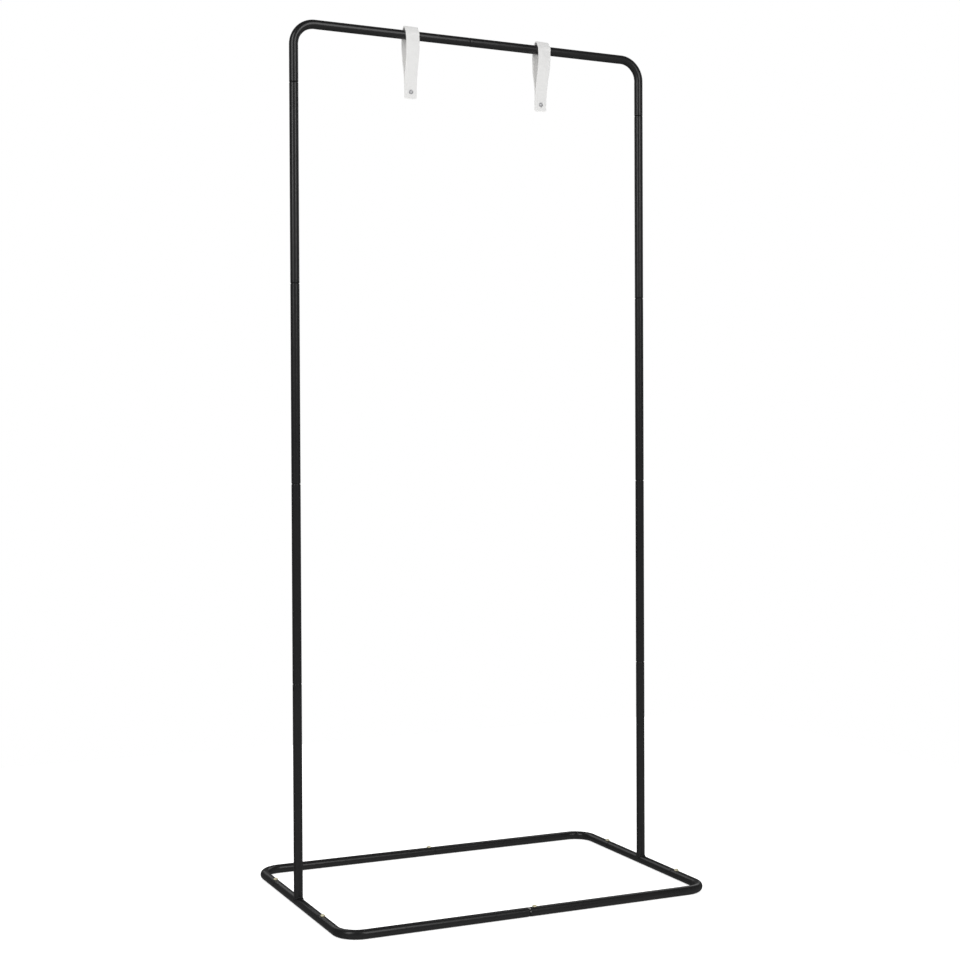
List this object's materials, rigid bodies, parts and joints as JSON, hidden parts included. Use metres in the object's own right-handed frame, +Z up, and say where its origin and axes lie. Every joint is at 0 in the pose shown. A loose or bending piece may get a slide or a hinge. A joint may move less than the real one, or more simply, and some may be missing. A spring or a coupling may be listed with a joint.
{
  "type": "standing coat rack",
  "caption": "Freestanding coat rack of black round tube: rounded rectangular base, two sectional uprights, arched rail and pale leather strap loops.",
  "frame": {"origin": "on the floor, at the centre of the base", "axes": "+X along the rail to the right seen from the front, +Y to the back, +Z up"},
  "size_m": [0.8392, 0.567, 1.8394],
  "materials": {
    "black_powder_coat": "satin black powder coat with a fine even texture",
    "yellow_zinc": "yellow-passivated zinc plate",
    "white_leather": "matte white leather with a fine pebble grain and cut edges",
    "grey_nickel": "dull nickel plate"
  },
  "bodies": {
    "frame": {"front_left_corner_tube": "black_powder_coat", "front_right_corner_tube": "black_powder_coat", "back_left_corner_tube": "black_powder_coat", "back_right_corner_tube": "black_powder_coat", "left_side_tube": "black_powder_coat", "left_foot_tube": "black_powder_coat", "left_upright_tube_1": "black_powder_coat", "left_upright_tube_2": "black_powder_coat", "left_upright_tube_3": "black_powder_coat", "right_side_tube": "black_powder_coat", "right_foot_tube": "black_powder_coat", "right_upright_tube_1": "black_powder_coat", "right_upright_tube_2": "black_powder_coat", "right_upright_tube_3": "black_powder_coat", "left_top_tube": "black_powder_coat", "right_top_tube": "black_powder_coat", "left_foot_weld": "black_powder_coat", "right_foot_weld": "black_powder_coat", "front_rail_screw": "yellow_zinc", "back_rail_screw": "yellow_zinc", "left_front_screw": "yellow_zinc", "left_back_screw": "yellow_zinc", "right_front_screw": "yellow_zinc", "right_back_screw": "yellow_zinc"},
    "left_loop": {"left_strap": "white_leather", "left_strap_post": "grey_nickel", "left_strap_screw": "grey_nickel"},
    "right_loop": {"right_strap": "white_leather", "right_strap_post": "grey_nickel", "right_strap_screw": "grey_nickel"}
  },
  "joints": [
    {"name": "left_loop_swing", "type": "hinge", "parent": "frame", "child": "left_loop", "pos_m": [-0.149, 0, 1.8205], "axis": [1, 0, 0], "range_deg": [-90, 90]},
    {"name": "right_loop_swing", "type": "hinge", "parent": "frame", "child": "right_loop", "pos_m": [0.16, 0, 1.8205], "axis": [1, 0, 0], "range_deg": [-90, 90]}
  ]
}
